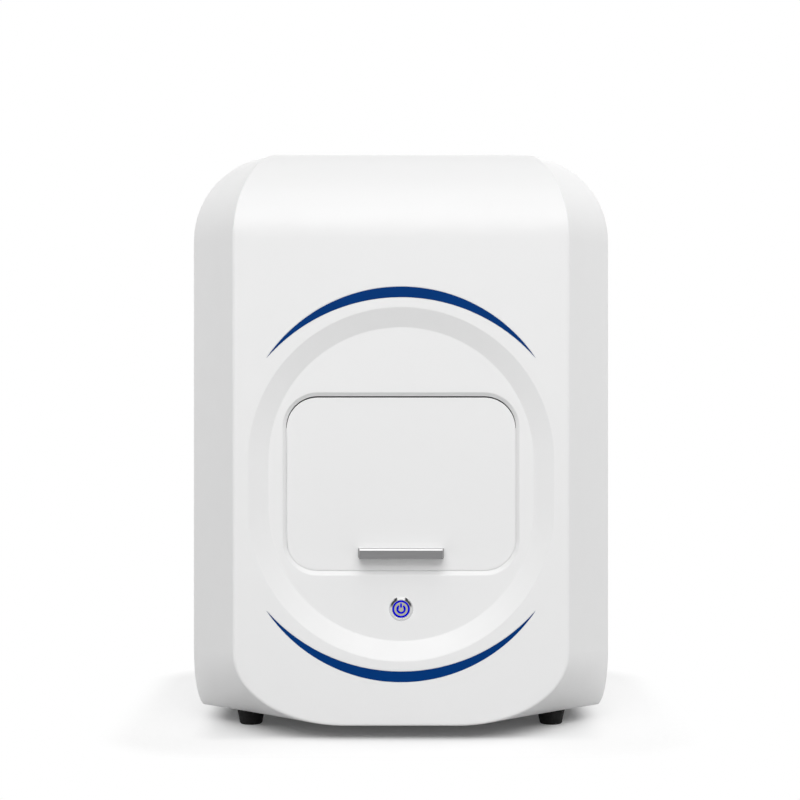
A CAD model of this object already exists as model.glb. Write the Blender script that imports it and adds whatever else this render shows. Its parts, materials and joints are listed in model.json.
import json
import math

import bmesh
import bpy
from mathutils import Matrix, Vector


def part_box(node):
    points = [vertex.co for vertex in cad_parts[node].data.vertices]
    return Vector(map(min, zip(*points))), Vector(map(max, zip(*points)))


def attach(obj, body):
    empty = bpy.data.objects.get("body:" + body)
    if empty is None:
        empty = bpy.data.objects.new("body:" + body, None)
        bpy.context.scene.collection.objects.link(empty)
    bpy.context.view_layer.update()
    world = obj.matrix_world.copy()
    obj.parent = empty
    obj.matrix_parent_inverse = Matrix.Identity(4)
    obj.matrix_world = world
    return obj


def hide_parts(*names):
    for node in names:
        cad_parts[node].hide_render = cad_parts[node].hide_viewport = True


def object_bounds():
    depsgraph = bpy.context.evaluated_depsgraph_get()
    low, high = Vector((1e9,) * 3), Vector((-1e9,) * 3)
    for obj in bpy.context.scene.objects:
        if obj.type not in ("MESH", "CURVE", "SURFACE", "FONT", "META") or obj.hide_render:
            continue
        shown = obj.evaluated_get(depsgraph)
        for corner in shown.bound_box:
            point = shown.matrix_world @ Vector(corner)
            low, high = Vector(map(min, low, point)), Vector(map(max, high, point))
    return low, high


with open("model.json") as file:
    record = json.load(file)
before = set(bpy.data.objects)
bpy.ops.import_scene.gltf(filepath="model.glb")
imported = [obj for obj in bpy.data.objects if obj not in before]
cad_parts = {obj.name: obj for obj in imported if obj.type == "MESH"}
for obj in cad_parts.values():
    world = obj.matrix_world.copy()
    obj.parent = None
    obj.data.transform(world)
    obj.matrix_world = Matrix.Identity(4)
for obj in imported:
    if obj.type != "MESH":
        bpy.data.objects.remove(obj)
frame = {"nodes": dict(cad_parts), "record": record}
cad_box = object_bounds()

# The looks of the colony counter: its materials, the pieces too fine for the CAD, and the studio.
# Metres, +Z up, the front faces -Y.

MM = 0.001

# ---------------------------------------------------------------- places taken from the frame

cap_low, cap_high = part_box("button_cap")
rotor_low, rotor_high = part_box("fan_rotor")
iris_low, iris_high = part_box("iris_ring")
door_low, door_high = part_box("door_panel")

front_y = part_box("front_bezel")[0].y
guard_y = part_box("fan_guard")[0].y
button_centre = (cap_low + cap_high) / 2
fan_centre = (rotor_low + rotor_high) / 2
lens_centre = (iris_low + iris_high) / 2

# ---------------------------------------------------------------- camera

PICTURE_SIZE = 800
FOCAL_PIXELS = 1835
SENSOR = 36.0
CAMERA_DISTANCE = 1.6546  # in front of the housing's front face
EYE_HEIGHT = 0.3083
CAMERA_X = -0.00095
CLIP_NEAR = 0.05
CLIP_FAR = 50.0


def make_camera():
    data = bpy.data.cameras.new("camera")
    data.sensor_width = SENSOR
    data.lens = SENSOR * FOCAL_PIXELS / PICTURE_SIZE
    data.clip_start = CLIP_NEAR
    data.clip_end = CLIP_FAR
    camera = bpy.data.objects.new("camera", data)
    camera.location = (CAMERA_X, front_y - CAMERA_DISTANCE, EYE_HEIGHT)
    camera.rotation_euler = (math.radians(90), 0, 0)
    bpy.context.scene.collection.objects.link(camera)
    bpy.context.scene.camera = camera


# ---------------------------------------------------------------- node trees

BEVEL_SAMPLES = 6
MIX_COLORS = (6, 7)  # the sockets of a Mix node's two colours
MIX_RESULT = 2
STREAKS_ALONG = 25.0  # streaks to the metre along the brushing
STREAKS_ACROSS = 2200.0


def math_node(tree, operation, first, second):
    """A math node on two values, each an output or a float."""
    node = tree.nodes.new("ShaderNodeMath")
    node.operation = operation
    for socket, value in enumerate((first, second)):
        if isinstance(value, float):
            node.inputs[socket].default_value = value
        else:
            tree.links.new(value, node.inputs[socket])
    return node.outputs[0]


class Surface:
    """A material on the Principled shader, with short calls for the nodes that vary it."""

    def __init__(self, name, color, roughness, metallic=0.0, **sockets):
        self.material = bpy.data.materials.new(name)
        self.material.use_nodes = True
        self.tree = self.material.node_tree
        self.shader = self.tree.nodes["Principled BSDF"]
        self.set("Base Color", (*color, 1.0))
        self.set("Roughness", roughness)
        self.set("Metallic", metallic)
        for socket, value in sockets.items():
            self.set(socket.replace("_", " "), value)
        self.color = color
        self.position = self.add("ShaderNodeTexCoord").outputs["Object"]
        self.normal = None

    def set(self, socket, value):
        self.shader.inputs[socket].default_value = value

    def add(self, kind, **settings):
        node = self.tree.nodes.new(kind)
        for setting, value in settings.items():
            setattr(node, setting, value)
        return node

    def link(self, output, node, socket):
        self.tree.links.new(output, node.inputs[socket])

    def stretched(self, scale, centre=(0, 0, 0)):
        """The position measured from a centre, scaled along each axis."""
        moved = self.add("ShaderNodeVectorMath", operation="SUBTRACT")
        self.link(self.position, moved, 0)
        moved.inputs[1].default_value = centre
        scaled = self.add("ShaderNodeVectorMath", operation="MULTIPLY")
        self.link(moved.outputs[0], scaled, 0)
        scaled.inputs[1].default_value = scale
        return scaled.outputs[0]

    def noise(self, scale, detail=2.0, vector=None):
        node = self.add("ShaderNodeTexNoise")
        node.inputs["Scale"].default_value = scale
        node.inputs["Detail"].default_value = detail
        self.link(vector or self.position, node, "Vector")
        return node.outputs["Fac"]

    def cells(self, scale):
        node = self.add("ShaderNodeTexVoronoi", feature="F1")
        node.inputs["Scale"].default_value = scale
        self.link(self.position, node, "Vector")
        return node.outputs["Distance"]

    def remap(self, value, low, high, source=(0.3, 0.7)):
        """Carries a value from the source's range to low and high. Noise fills about 0.3 to 0.7."""
        node = self.add("ShaderNodeMapRange")
        self.link(value, node, "Value")
        node.inputs["From Min"].default_value = source[0]
        node.inputs["From Max"].default_value = source[1]
        node.inputs["To Min"].default_value = low
        node.inputs["To Max"].default_value = high
        return node.outputs["Result"]

    def combine(self, operation, first, second):
        return math_node(self.tree, operation, first, second)

    def split(self, vector):
        """The X, Y and Z of a vector, as outputs by name."""
        node = self.add("ShaderNodeSeparateXYZ")
        self.link(vector, node, 0)
        return node.outputs

    def length(self, vector):
        node = self.add("ShaderNodeVectorMath", operation="LENGTH")
        self.link(vector, node, 0)
        return node.outputs["Value"]

    def streaks(self, along):
        """Long fine streaks along one axis, as brushing leaves them."""
        stretch = [STREAKS_ACROSS] * 3
        stretch[along] = STREAKS_ALONG
        return self.noise(1.0, 4.0, self.stretched(stretch))

    def tint(self, share, first, second):
        """A colour between two, by a share from 0 to 1. Either may be a colour or an output."""
        node = self.add("ShaderNodeMix", data_type="RGBA")
        self.link(share, node, "Factor")
        for socket, value in zip(MIX_COLORS, (first, second)):
            if isinstance(value, tuple):
                node.inputs[socket].default_value = (*value, 1.0)
            else:
                self.link(value, node, socket)
        return node.outputs[MIX_RESULT]

    def mottle(self, scale, depth):
        """Slow lighter and darker areas, depth as a share of the colour."""
        dark = tuple(channel * (1 - depth) for channel in self.color)
        share = self.remap(self.noise(scale, 3.0), 0.0, 1.0)
        return self.tint(share, dark, self.color)

    def paint(self, color):
        self.link(color, self.shader, "Base Color")

    def vary_roughness(self, value, low, high):
        self.link(self.remap(value, low, high), self.shader, "Roughness")

    def soften_edges(self, radius):
        """Shades each sharp edge as if it were rounded."""
        node = self.add("ShaderNodeBevel", samples=BEVEL_SAMPLES)
        node.inputs["Radius"].default_value = radius
        self.normal = node.outputs["Normal"]

    def emboss(self, height, strength, distance):
        """Raises the shading by a height, on top of any softened edges."""
        node = self.add("ShaderNodeBump")
        node.inputs["Strength"].default_value = strength
        node.inputs["Distance"].default_value = distance
        self.link(height, node, "Height")
        if self.normal is not None:
            self.link(self.normal, node, "Normal")
        self.normal = node.outputs["Normal"]

    def edge_share(self, radius):
        """0 on open faces and up to 1 along edges within a radius."""
        bevel = self.add("ShaderNodeBevel", samples=BEVEL_SAMPLES)
        bevel.inputs["Radius"].default_value = radius
        geometry = self.add("ShaderNodeNewGeometry")
        dot = self.add("ShaderNodeVectorMath", operation="DOT_PRODUCT")
        self.link(bevel.outputs["Normal"], dot, 0)
        self.link(geometry.outputs["Normal"], dot, 1)
        return self.remap(dot.outputs["Value"], 0.0, 1.0, (1.0, 0.8))

    def finish(self):
        """Links the shaped normal and hands over the material."""
        if self.normal is not None:
            self.link(self.normal, self.shader, "Normal")
        return self.material


# ---------------------------------------------------------------- materials

# depths of relief at full strength
FINE_RELIEF = 0.05 * MM
RELIEF = 0.1 * MM
COATING_RELIEF = 0.15 * MM


def moulded_plastic(name, color, roughness, edge, grain=0.05):
    """Injection-moulded plastic: faint mottling, a fine spark-eroded grain and soft edges."""
    s = Surface(name, color, roughness, IOR=1.46)
    s.paint(s.mottle(7.0, 0.012))
    s.vary_roughness(s.noise(45.0, 3.0), roughness - 0.03, roughness + 0.04)
    s.soften_edges(edge)
    s.emboss(s.noise(1500.0), grain, RELIEF)
    return s.finish()


def inlay_blue():
    """The glossy blue of the crescents, with the faint ripple of a bonded strip."""
    s = Surface("blue_inlay", (0.0, 0.038, 0.19), 0.4, IOR=1.4, Specular_IOR_Level=0.05)
    s.paint(s.mottle(30.0, 0.1))
    s.vary_roughness(s.noise(160.0), 0.34, 0.46)
    s.emboss(s.noise(220.0, 1.0), 0.04, RELIEF)
    return s.finish()


# the lit ring of the button: its lamps, and its glow between and over them
RING_LAMPS = 8.0
GLOW_BETWEEN = (0.001, 0.0015, 0.4)
GLOW_OVER = (0.002, 0.003, 0.62)
GLOW_STRENGTH = 0.75


def glowing_blue():
    """Translucent blue over a ring of small lamps, a little brighter over each lamp."""
    s = Surface("blue_light", (0.0, 0.0, 0.2), 0.4, Specular_IOR_Level=0.04)
    place = s.split(s.stretched((1, 1, 1), button_centre))
    turn = s.combine("ARCTAN2", place["Z"], place["X"])
    wave = s.combine("COSINE", s.combine("MULTIPLY", turn, RING_LAMPS), 0.0)
    share = s.remap(wave, 0.0, 1.0, (-1.0, 1.0))
    s.link(s.tint(share, GLOW_BETWEEN, GLOW_OVER), s.shader, "Emission Color")
    s.set("Emission Strength", GLOW_STRENGTH)
    s.emboss(s.noise(2500.0), 0.05, FINE_RELIEF)
    return s.finish()


def turned_metal(name, color, roughness, centre, axis, pitch=0.16 * MM, depth=0.12):
    """Metal turned on a lathe, with fine rings round an axis."""
    s = Surface(name, color, roughness, metallic=1.0)
    flat = tuple(0.0 if index == axis else 1.0 for index in range(3))
    rings = s.add("ShaderNodeTexNoise", noise_dimensions="1D")
    rings.inputs["Scale"].default_value = 1 / pitch
    rings.inputs["Detail"].default_value = 3.0
    s.link(s.length(s.stretched(flat, centre)), rings, "W")
    dark = tuple(channel * 0.86 for channel in color)
    s.paint(s.tint(s.remap(rings.outputs["Fac"], 0.0, 1.0), dark, color))
    s.vary_roughness(s.noise(300.0), roughness - 0.03, roughness + 0.08)
    s.soften_edges(0.25 * MM)
    s.emboss(rings.outputs["Fac"], depth, FINE_RELIEF)
    return s.finish()


# the reflections on the button's bezel, each faded between two radii or two turns from its top
BEZEL_REACH = (11.3 * MM, 11.6 * MM)
FLANK_REACH = (9.9 * MM, 10.4 * MM)
CROWN_TURN = (math.radians(17), math.radians(24))
FLANK_START = (math.radians(20), math.radians(28))
FLANK_END = (math.radians(66), math.radians(84))
CHROME_DULL = (0.66, 0.66, 0.67)
CHROME = (0.72, 0.72, 0.73)
CROWN_WHITE = (0.95, 0.95, 0.95)
FLANK_DARK = (0.07, 0.07, 0.075)


def bezel_chrome():
    """Polished chrome. The button's bezel is bright over its crown and dark on its two flanks."""
    s = Surface("turned_chrome", CHROME, 0.1, metallic=1.0)
    place = s.stretched((1, 0, 1), button_centre)
    sides = s.split(place)
    signed = s.combine("ARCTAN2", sides["X"], sides["Z"])
    turn = s.combine("ABSOLUTE", signed, 0.0)
    reach = s.length(place)
    whole = s.remap(reach, 1.0, 0.0, BEZEL_REACH)
    inner = s.remap(reach, 1.0, 0.0, FLANK_REACH)
    crown = s.combine("MULTIPLY", whole, s.remap(turn, 1.0, 0.0, CROWN_TURN))
    after = s.remap(turn, 0.0, 1.0, FLANK_START)
    before = s.remap(turn, 1.0, 0.0, FLANK_END)
    flank = s.combine("MULTIPLY", inner, s.combine("MULTIPLY", after, before))
    grain = s.remap(s.noise(5000.0, 3.0), 0.0, 1.0)
    metal = s.tint(grain, CHROME_DULL, CHROME)
    s.paint(s.tint(crown, s.tint(flank, metal, FLANK_DARK), CROWN_WHITE))
    s.link(s.combine("SUBTRACT", 1.0, crown), s.shader, "Metallic")
    s.vary_roughness(s.noise(300.0), 0.07, 0.16)
    s.soften_edges(0.25 * MM)
    return s.finish()


def brushed_metal(name, color, roughness, along):
    """Metal brushed along one axis: long fine streaks, rubbed lighter on its edges."""
    s = Surface(name, color, roughness, metallic=1.0)
    edge = 0.4 * MM
    streaks = s.streaks(along)
    dark = tuple(channel * 0.88 for channel in color)
    light = tuple(min(channel * 1.25, 1.0) for channel in color)
    body = s.tint(s.remap(streaks, 0.0, 1.0), dark, color)
    s.paint(s.tint(s.edge_share(edge), body, light))
    s.vary_roughness(streaks, roughness - 0.04, roughness + 0.08)
    s.soften_edges(edge)
    s.emboss(streaks, 0.1, FINE_RELIEF)
    return s.finish()


# the handle: the greys of its front and of its top, and how far up a top face looks
HANDLE_GREY = (0.16, 0.16, 0.162)
HANDLE_DARK = (0.148, 0.148, 0.15)
HANDLE_LIGHT = (0.17, 0.17, 0.172)
HANDLE_TOP = (0.5, 0.5, 0.5)
TOP_FACING = (0.3, 0.6)


def handle_metal():
    """Dark brushed aluminium, cut bright on top."""
    s = Surface("satin_aluminium", HANDLE_GREY, 0.34, metallic=1.0)
    facing = s.split(s.add("ShaderNodeTexCoord").outputs["Normal"])
    upward = s.remap(facing["Z"], 0.0, 1.0, TOP_FACING)
    streaks = s.streaks(0)
    body = s.tint(s.remap(streaks, 0.0, 1.0), HANDLE_DARK, HANDLE_LIGHT)
    s.paint(s.tint(upward, body, HANDLE_TOP))
    s.vary_roughness(streaks, 0.3, 0.42)
    s.emboss(streaks, 0.1, FINE_RELIEF)
    return s.finish()


def plated_steel(name, color, roughness, spangle):
    """Plated sheet or fasteners: a faint crystal spangle and small scratches."""
    s = Surface(name, color, roughness, metallic=1.0)
    dark = tuple(channel * 0.8 for channel in color)
    s.paint(s.tint(s.remap(s.cells(spangle), 0.0, 1.0, (0.1, 0.8)), color, dark))
    s.vary_roughness(s.noise(spangle * 2), roughness - 0.05, roughness + 0.1)
    s.soften_edges(0.2 * MM)
    s.emboss(s.noise(spangle * 4, 3.0), 0.06, FINE_RELIEF)
    return s.finish()


def coated_sheet(name, color, roughness, peel=700.0):
    """Powder-coated sheet metal: an orange-peel surface with a fine fleck, worn at its edges."""
    s = Surface(name, color, roughness, IOR=1.5)
    light = tuple(min(channel * 1.3 + 0.01, 1.0) for channel in color)
    fleck = s.tint(s.remap(s.noise(peel * 4, 1.0), 0.0, 0.35, (0.55, 0.75)), color, light)
    s.paint(s.tint(s.edge_share(0.4 * MM), fleck, light))
    s.vary_roughness(s.noise(peel / 6), roughness - 0.05, roughness + 0.06)
    s.soften_edges(0.5 * MM)
    s.emboss(s.noise(peel, 1.0), 0.18, COATING_RELIEF)
    return s.finish()


def moulded_rubber():
    """Black rubber, dusty where it is rough."""
    s = Surface("moulded_rubber", (0.006, 0.006, 0.006), 0.75, Specular_IOR_Level=0.2)
    dust = s.remap(s.noise(600.0, 4.0), 0.0, 0.5, (0.5, 0.8))
    s.paint(s.tint(dust, (0.005, 0.005, 0.005), (0.016, 0.0155, 0.015)))
    s.vary_roughness(s.noise(200.0), 0.62, 0.8)
    s.soften_edges(0.5 * MM)
    s.emboss(s.noise(900.0), 0.2, RELIEF)
    return s.finish()


SCATTER_REACH = 4 * MM


def opal_sheet():
    """Opal diffuser plastic: light scatters inside it."""
    s = Surface("opal_sheet", (0.82, 0.82, 0.8), 0.45, IOR=1.49, Subsurface_Weight=0.4)
    s.set("Subsurface Radius", (SCATTER_REACH, SCATTER_REACH, SCATTER_REACH))
    s.set("Subsurface Scale", 1.0)
    s.paint(s.mottle(60.0, 0.03))
    s.vary_roughness(s.noise(400.0), 0.4, 0.52)
    s.emboss(s.noise(1800.0), 0.05, FINE_RELIEF)
    return s.finish()


def smoked_ring():
    """The smoked acrylic of the dish ring, with fine sanding marks."""
    s = Surface("smoked_acrylic", (0.09, 0.095, 0.1), 0.25, IOR=1.49, Coat_Weight=0.3)
    s.paint(s.mottle(80.0, 0.2))
    s.vary_roughness(s.noise(500.0, 4.0), 0.18, 0.36)
    s.soften_edges(0.3 * MM)
    s.emboss(s.noise(1200.0), 0.05, FINE_RELIEF)
    return s.finish()


# the tracks of a board are the joints of an uneven brick pattern
TRACK_LAYOUT = {"offset": 0.37, "squash": 0.6, "squash_frequency": 3}
TRACK_SIZES = {"Scale": 140.0, "Mortar Size": 0.035, "Brick Width": 1.7, "Row Height": 0.32}


def circuit_board(name, mask, track):
    """Solder mask over copper tracks, which show as slightly raised lines."""
    s = Surface(name, mask, 0.3, IOR=1.5)
    bricks = s.add("ShaderNodeTexBrick", **TRACK_LAYOUT)
    for socket, value in TRACK_SIZES.items():
        bricks.inputs[socket].default_value = value
    turned = s.add("ShaderNodeMapping", vector_type="TEXTURE")
    turned.inputs["Rotation"].default_value = (0.0, math.radians(90), math.radians(90))
    s.link(s.position, turned, "Vector")
    s.link(turned.outputs["Vector"], bricks, "Vector")
    share = s.combine("MULTIPLY", bricks.outputs["Fac"], s.remap(s.noise(55.0), 0.2, 1.0))
    s.paint(s.tint(share, mask, track))
    s.vary_roughness(s.noise(300.0), 0.26, 0.38)
    s.emboss(bricks.outputs["Fac"], 0.15, FINE_RELIEF)
    return s.finish()


def phosphor():
    """The yellow phosphor of a lamp that is off, in its pale frame."""
    s = Surface("lamp_phosphor", (0.78, 0.7, 0.3), 0.35, Coat_Weight=0.4)
    s.paint(s.tint(s.edge_share(1.0 * MM), (0.8, 0.68, 0.2), (0.85, 0.84, 0.78)))
    s.vary_roughness(s.noise(900.0), 0.3, 0.42)
    s.emboss(s.noise(2500.0), 0.08, FINE_RELIEF)
    return s.finish()


def coated_glass():
    """Coated lens glass: a violet bloom that strengthens towards the rim, and a trace of dust."""
    s = Surface("coated_glass", (0.35, 0.36, 0.5), 0.03, IOR=1.52, Transmission_Weight=0.85)
    rim = s.add("ShaderNodeLayerWeight")
    rim.inputs["Blend"].default_value = 0.35
    s.paint(s.tint(rim.outputs["Facing"], (0.3, 0.32, 0.5), (0.55, 0.35, 0.6)))
    s.vary_roughness(s.noise(1500.0, 5.0), 0.01, 0.09)
    return s.finish()


def make_materials():
    """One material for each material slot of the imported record."""
    return {
        "white_housing": moulded_plastic("white_moulding", (0.83, 0.83, 0.83), 0.36, 1.5 * MM),
        "white_door": moulded_plastic("white_door_skin", (0.825, 0.825, 0.825), 0.38, 0.8 * MM),
        "inner_white": moulded_plastic("inner_moulding", (0.76, 0.76, 0.75), 0.5, 0.6 * MM, 0.1),
        "blue_strip": inlay_blue(),
        "blue_light": glowing_blue(),
        "button_chrome": bezel_chrome(),
        "satin_nickel": turned_metal(
            "satin_nickel", (0.33, 0.32, 0.26), 0.34, button_centre, 1
        ),
        "handle_aluminium": handle_metal(),
        "steel_screw": plated_steel("plated_screw", (0.55, 0.55, 0.56), 0.3, 900.0),
        "grey_sheet": coated_sheet("grey_coating", (0.55, 0.56, 0.57), 0.45),
        "black_sheet": coated_sheet("matt_black_coating", (0.018, 0.018, 0.019), 0.7),
        "rubber": moulded_rubber(),
        "opal": opal_sheet(),
        "clear_ring": smoked_ring(),
        "board_green": circuit_board("green_board", (0.01, 0.12, 0.05), (0.03, 0.24, 0.1)),
        "board_white": circuit_board("white_board", (0.78, 0.78, 0.76), (0.6, 0.6, 0.58)),
        "lamp": phosphor(),
        "lens_black": turned_metal(
            "black_anodised", (0.03, 0.03, 0.032), 0.38, lens_centre, 2, 0.3 * MM, 0.08
        ),
        "lens_glass": coated_glass(),
        "camera_grey": brushed_metal("camera_anodised", (0.16, 0.16, 0.17), 0.4, 2),
        "bare_aluminium": brushed_metal("milled_aluminium", (0.66, 0.66, 0.68), 0.3, 2),
        "black_plastic": moulded_plastic(
            "black_moulding", (0.02, 0.02, 0.021), 0.48, 0.4 * MM, 0.15
        ),
        "magnet_grey": coated_sheet("ferrite", (0.05, 0.05, 0.052), 0.55, 1200.0),
        "zinc_steel": plated_steel("zinc_plate", (0.62, 0.64, 0.66), 0.32, 180.0),
    }


def dress_frame(materials):
    """Gives each CAD node the material of its slot in the record."""
    for part in frame["record"]["subparts"]:
        node = frame["nodes"][part["node"]]
        for slot in node.material_slots:
            slot.material = materials[part["material_slot"]]


# ---------------------------------------------------------------- pieces


def new_piece(name, mesh, material, body, smooth=True):
    """An object from a finished bmesh, with its material, that rides on a CAD body."""
    data = bpy.data.meshes.new(name)
    bmesh.ops.recalc_face_normals(mesh, faces=mesh.faces)
    mesh.to_mesh(data)
    mesh.free()
    data.materials.append(material)
    for face in data.polygons:
        face.use_smooth = smooth
    piece = bpy.data.objects.new(name, data)
    bpy.context.scene.collection.objects.link(piece)
    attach(piece, body)
    return piece


def sweep(mesh, path, closed):
    """A round wire of the guard along a path of points in the XZ plane."""
    rings = []
    count = len(path)
    for index, point in enumerate(path):
        after = path[(index + 1) % count] if closed or index < count - 1 else point
        before = path[index - 1] if closed or index > 0 else point
        along = (after - before).normalized()
        across = Vector((0, 1, 0)).cross(along)
        ring = []
        for side in range(WIRE_SIDES):
            angle = 2 * math.pi * side / WIRE_SIDES
            offset = across * math.cos(angle) + Vector((0, 1, 0)) * math.sin(angle)
            ring.append(mesh.verts.new(point + offset * GUARD_WIRE))
        rings.append(ring)
    spans = count if closed else count - 1
    for index in range(spans):
        first, second = rings[index], rings[(index + 1) % count]
        for side in range(WIRE_SIDES):
            other = (side + 1) % WIRE_SIDES
            mesh.faces.new((first[side], first[other], second[other], second[side]))
    if not closed:
        mesh.faces.new(rings[0])
        mesh.faces.new(list(reversed(rings[-1])))


def circle_path(centre, radius, steps):
    """Points on a circle in the XZ plane."""
    return [
        centre
        + Vector((
            radius * math.cos(2 * math.pi * step / steps),
            0,
            radius * math.sin(2 * math.pi * step / steps),
        ))
        for step in range(steps)
    ]


# fan guard: round wire rings welded on a cross, with an eyelet at each screw
GUARD_WIRE = 0.8 * MM  # the wire's radius
GUARD_RINGS = (12 * MM, 20 * MM, 28 * MM, 36 * MM)
GUARD_HOLE_PITCH = 71.5 * MM
GUARD_STEP = 1.8 * GUARD_WIRE  # from the arms to the rings, pressed together at the welds
EYELET = 3.4 * MM
WIRE_SIDES = 10
RING_STEPS = 72
EYELET_STEPS = 28


def fan_guard(material):
    mesh = bmesh.new()
    back = Vector((0, guard_y + GUARD_WIRE, fan_centre.z))
    front = back + Vector((0, GUARD_STEP, 0))
    for radius in GUARD_RINGS:
        sweep(mesh, circle_path(front, radius, RING_STEPS), True)
    corner = GUARD_HOLE_PITCH / math.sqrt(2)
    for index in range(4):
        turn = math.radians(45 + 90 * index)
        out = Vector((math.cos(turn), 0, math.sin(turn)))
        arm = [back + out * (GUARD_RINGS[0] - GUARD_WIRE), back + out * (corner - EYELET)]
        sweep(mesh, arm, False)
        sweep(mesh, circle_path(back + out * corner, EYELET, EYELET_STEPS), True)
    piece = new_piece("fan_guard_wire", mesh, material, "housing")
    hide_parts("fan_guard")


# power symbol: a bar in the gap of an arc, set in the cap's face and a hair proud of it
SYMBOL_ARC_RADIUS = 3.45 * MM
SYMBOL_STROKE = 1.75 * MM
SYMBOL_GAP = math.radians(44)
SYMBOL_BAR_TOP = 5.35 * MM
SYMBOL_BAR_LOW = 1.15 * MM
SYMBOL_PROUD = 0.06 * MM
SYMBOL_SUNK = 0.3 * MM
SYMBOL_STEPS = 40
END_STEPS = 8  # steps round the half circle at an end of a stroke


def stroke(mesh, path, width, low_y, high_y):
    """A flat band of a width along a path in the XZ plane, with round ends, as a thin solid."""
    left, right = [], []
    for index, point in enumerate(path):
        after = path[min(index + 1, len(path) - 1)]
        before = path[max(index - 1, 0)]
        along = (after - before).normalized()
        across = Vector((-along.z, 0, along.x)) * width / 2
        left.append(point + across)
        right.append(point - across)

    def end_cap(point, start, sign):
        turned = []
        for step in range(1, END_STEPS):
            turn = Matrix.Rotation(sign * math.pi * step / END_STEPS, 3, "Y")
            turned.append(point + turn @ (start - point))
        return turned

    outline = left + end_cap(path[-1], left[-1], 1) + right[::-1] + end_cap(path[0], right[0], 1)
    near = [mesh.verts.new((p.x, low_y, p.z)) for p in outline]
    far = [mesh.verts.new((p.x, high_y, p.z)) for p in outline]
    faces = [mesh.faces.new(near), mesh.faces.new(far[::-1])]
    count = len(outline)
    for index in range(count):
        other = (index + 1) % count
        faces.append(mesh.faces.new((near[index], far[index], far[other], near[other])))
    bmesh.ops.triangulate(mesh, faces=faces[:2])


def power_symbol(material):
    mesh = bmesh.new()
    centre = Vector((button_centre.x, 0, button_centre.z))
    span = 2 * math.pi - 2 * SYMBOL_GAP
    arc = []
    for step in range(SYMBOL_STEPS + 1):
        turn = math.pi / 2 + SYMBOL_GAP + span * step / SYMBOL_STEPS
        arc.append(centre + SYMBOL_ARC_RADIUS * Vector((math.cos(turn), 0, math.sin(turn))))
    half = SYMBOL_STROKE / 2
    bar = [
        centre + Vector((0, 0, SYMBOL_BAR_LOW + half)),
        centre + Vector((0, 0, SYMBOL_BAR_TOP - half)),
    ]
    for path in (arc, bar):
        stroke(mesh, path, SYMBOL_STROKE, cap_low.y - SYMBOL_PROUD, cap_low.y + SYMBOL_SUNK)
    new_piece("power_symbol", mesh, material, "power_button", smooth=False)


# door seal: a thin white lip round the door's sides and foot, which closes most of its gap
DOOR_RADIUS = 28 * MM  # at the door's corners
SEAL_WIDTH = 0.8 * MM
SEAL_REACH = 0.3 * MM  # how far it stands out from the door's edge
SEAL_SET_BACK = 0.06 * MM  # from the door's face
SEAL_THICKNESS = 1.0 * MM
CORNER_STEPS = 16


def door_seal(material):
    mesh = bmesh.new()
    spread = SEAL_REACH - SEAL_WIDTH / 2
    radius = DOOR_RADIUS + spread
    left, right = door_low.x - spread, door_high.x + spread
    foot, top = door_low.z - spread, door_high.z - DOOR_RADIUS
    path = [Vector((left, 0, top))]
    for centre_x, start in ((left + radius, math.pi), (right - radius, 1.5 * math.pi)):
        centre = Vector((centre_x, 0, foot + radius))
        for step in range(CORNER_STEPS + 1):
            turn = start + math.pi / 2 * step / CORNER_STEPS
            path.append(centre + radius * Vector((math.cos(turn), 0, math.sin(turn))))
    path.append(Vector((right, 0, top)))
    face = door_low.y + SEAL_SET_BACK
    stroke(mesh, path, SEAL_WIDTH, face, face + SEAL_THICKNESS)
    new_piece("door_seal", mesh, material, "door", smooth=False)


# ---------------------------------------------------------------- studio

BACKGROUND = (1.0, 1.0, 1.0, 1.0)
AMBIENT = 0.15
FLOOR_HALF = 6.0
FLOOR_COLOR = 0.98
FLOOR_MOTTLE = 0.01
FLOOR_GRAIN = 8.0
FLOOR_BOUNCE = 0.55  # what the floor sends back up to the object
FOOTPRINT_INSET = 0.035
FLOOR_LIFT = 0.05  # stray light under the object
# away from the footprint the floor turns into the plain background: share, start, end
FLOOR_FADES = ((0.6, 0.0, 0.033), (0.35, 0.075, 0.115))

# lamps: place, width and height, and power
LAMP_TARGET = (0, front_y, 0.35)
LAMPS = {
    "key_box": ((0, front_y - 4.2, 3.3), (4.8, 2.5), 147.0),
    "top_box": ((0, front_y - 2.2, 5.0), (4.7, 2.9), 69.0),
    "front_box": ((0, front_y - 4.2, 0.95), (3.8, 1.9), 30.0),
    "left_box": ((-2.0, front_y + 0.45, 1.1), (0.8, 1.6), 11.3),
    "right_box": ((2.0, front_y + 0.45, 1.4), (0.8, 1.6), 18.6),
    "back_box": ((0, 2.4, 0.5), (2.4, 1.6), 12.0),
}


def vector_node(tree, operation, first, second=None):
    """A vector math node on an output, with a plain vector as its second input if it has one."""
    node = tree.nodes.new("ShaderNodeVectorMath")
    node.operation = operation
    tree.links.new(first, node.inputs[0])
    if second is not None:
        node.inputs[1].default_value = second
    return node.outputs["Value" if operation == "LENGTH" else "Vector"]


def range_node(tree, value, low, high, source=(0.0, 1.0)):
    """A smooth step from low to high, as the value crosses the source's range."""
    node = tree.nodes.new("ShaderNodeMapRange")
    node.interpolation_type = "SMOOTHSTEP"
    node.inputs["From Min"].default_value = source[0]
    node.inputs["From Max"].default_value = source[1]
    node.inputs["To Min"].default_value = low
    node.inputs["To Max"].default_value = high
    tree.links.new(value, node.inputs["Value"])
    return node.outputs["Result"]


def sees_background(tree):
    """1 for the rays that should see the white background: camera, mirror and glass rays."""
    path = tree.nodes.new("ShaderNodeLightPath")
    rays = path.outputs
    mirrors = math_node(tree, "MAXIMUM", rays["Is Camera Ray"], rays["Is Glossy Ray"])
    return math_node(tree, "MAXIMUM", mirrors, rays["Is Transmission Ray"])


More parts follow.
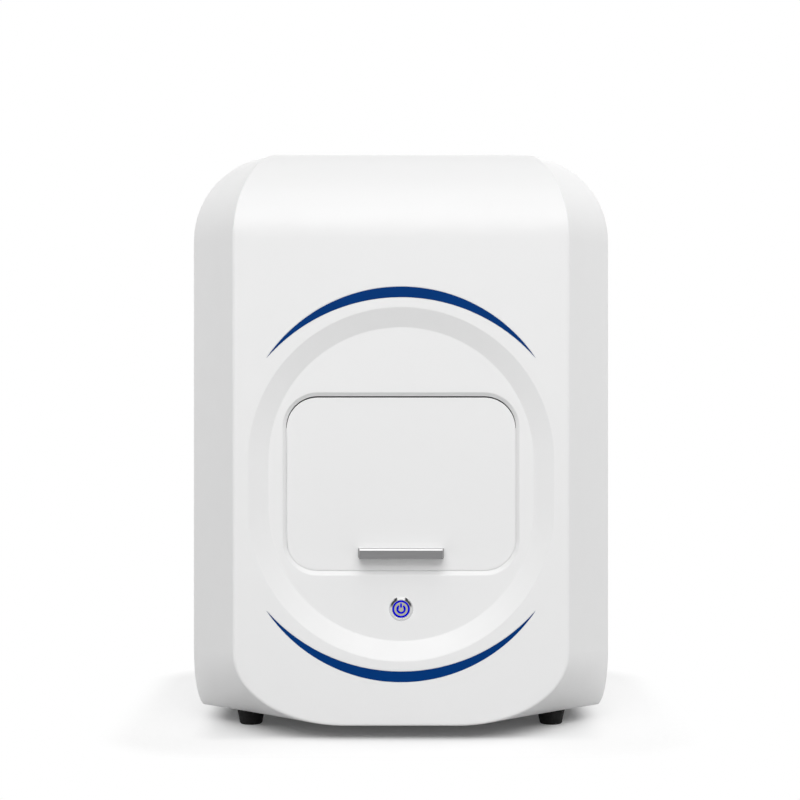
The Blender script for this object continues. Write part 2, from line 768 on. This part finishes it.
def mixed(tree, share, first, second):
    """The first shader where the share is 0 and the second where it is 1."""
    mix = tree.nodes.new("ShaderNodeMixShader")
    tree.links.new(share, mix.inputs[0])
    tree.links.new(first, mix.inputs[1])
    tree.links.new(second, mix.inputs[2])
    return mix.outputs[0]


def make_world():
    """A plain white world that lights weakly and shows as the white background."""
    world = bpy.data.worlds.new("studio")
    bpy.context.scene.world = world
    world.use_nodes = True
    tree = world.node_tree
    plain = tree.nodes["Background"]
    plain.inputs["Color"].default_value = BACKGROUND
    plain.inputs["Strength"].default_value = AMBIENT
    white = tree.nodes.new("ShaderNodeBackground")
    white.inputs["Color"].default_value = BACKGROUND
    shown = mixed(tree, sees_background(tree), plain.outputs[0], white.outputs[0])
    tree.links.new(shown, tree.nodes["World Output"].inputs["Surface"])


def floor_material():
    """A pale matt floor that keeps the object's shadow, fades away and is clear from below."""
    material = bpy.data.materials.new("floor")
    material.use_nodes = True
    tree = material.node_tree
    tree.nodes.remove(tree.nodes["Principled BSDF"])
    seen = sees_background(tree)
    grain = tree.nodes.new("ShaderNodeTexNoise")
    grain.inputs["Scale"].default_value = FLOOR_GRAIN
    shade = range_node(tree, grain.outputs["Fac"], FLOOR_COLOR - FLOOR_MOTTLE, FLOOR_COLOR)
    diffuse = tree.nodes.new("ShaderNodeBsdfDiffuse")
    bounce = range_node(tree, seen, FLOOR_BOUNCE, 1.0)
    tree.links.new(math_node(tree, "MULTIPLY", shade, bounce), diffuse.inputs["Color"])
    place = tree.nodes.new("ShaderNodeTexCoord").outputs["Object"]
    footprint = (cad_box[1][0] - FOOTPRINT_INSET, cad_box[1][1] - FOOTPRINT_INSET, 0)
    outside = vector_node(tree, "SUBTRACT", vector_node(tree, "ABSOLUTE", place), footprint)
    distance = vector_node(tree, "LENGTH", vector_node(tree, "MAXIMUM", outside, (0, 0, 0)))
    steps = [range_node(tree, distance, 0.0, share, span) for share, *span in FLOOR_FADES]
    fade = math_node(tree, "ADD", math_node(tree, "ADD", *steps), FLOOR_LIFT)
    glow = tree.nodes.new("ShaderNodeEmission")
    glow.inputs["Color"].default_value = BACKGROUND
    share = math_node(tree, "MULTIPLY", fade, seen)
    above = mixed(tree, share, diffuse.outputs[0], glow.outputs[0])
    below = tree.nodes.new("ShaderNodeBsdfTransparent").outputs[0]
    side = tree.nodes.new("ShaderNodeNewGeometry").outputs["Backfacing"]
    shown = mixed(tree, side, above, below)
    tree.links.new(shown, tree.nodes["Material Output"].inputs["Surface"])
    return material


def make_floor():
    mesh = bmesh.new()
    bmesh.ops.create_grid(mesh, x_segments=1, y_segments=1, size=FLOOR_HALF)
    data = bpy.data.meshes.new("floor")
    mesh.to_mesh(data)
    mesh.free()
    data.materials.append(floor_material())
    floor = bpy.data.objects.new("floor", data)
    bpy.context.scene.collection.objects.link(floor)


def soft_box(name, place, size, power):
    """A rectangular studio lamp at a place, aimed at the object's front."""
    data = bpy.data.lights.new(name, "AREA")
    data.shape = "RECTANGLE"
    data.size, data.size_y = size
    data.energy = power
    lamp = bpy.data.objects.new(name, data)
    lamp.visible_camera = False
    lamp.location = place
    aim = Vector(LAMP_TARGET) - Vector(place)
    lamp.rotation_euler = aim.to_track_quat("-Z", "Y").to_euler()
    bpy.context.scene.collection.objects.link(lamp)


# ---------------------------------------------------------------- making

scene = bpy.context.scene
scene.view_settings.view_transform = "Standard"

make_camera()
materials = make_materials()
dress_frame(materials)
fan_guard(materials["button_chrome"])
power_symbol(materials["blue_light"])
door_seal(materials["white_door"])
make_world()
make_floor()
for lamp_name, lamp_values in LAMPS.items():
    soft_box(lamp_name, *lamp_values)
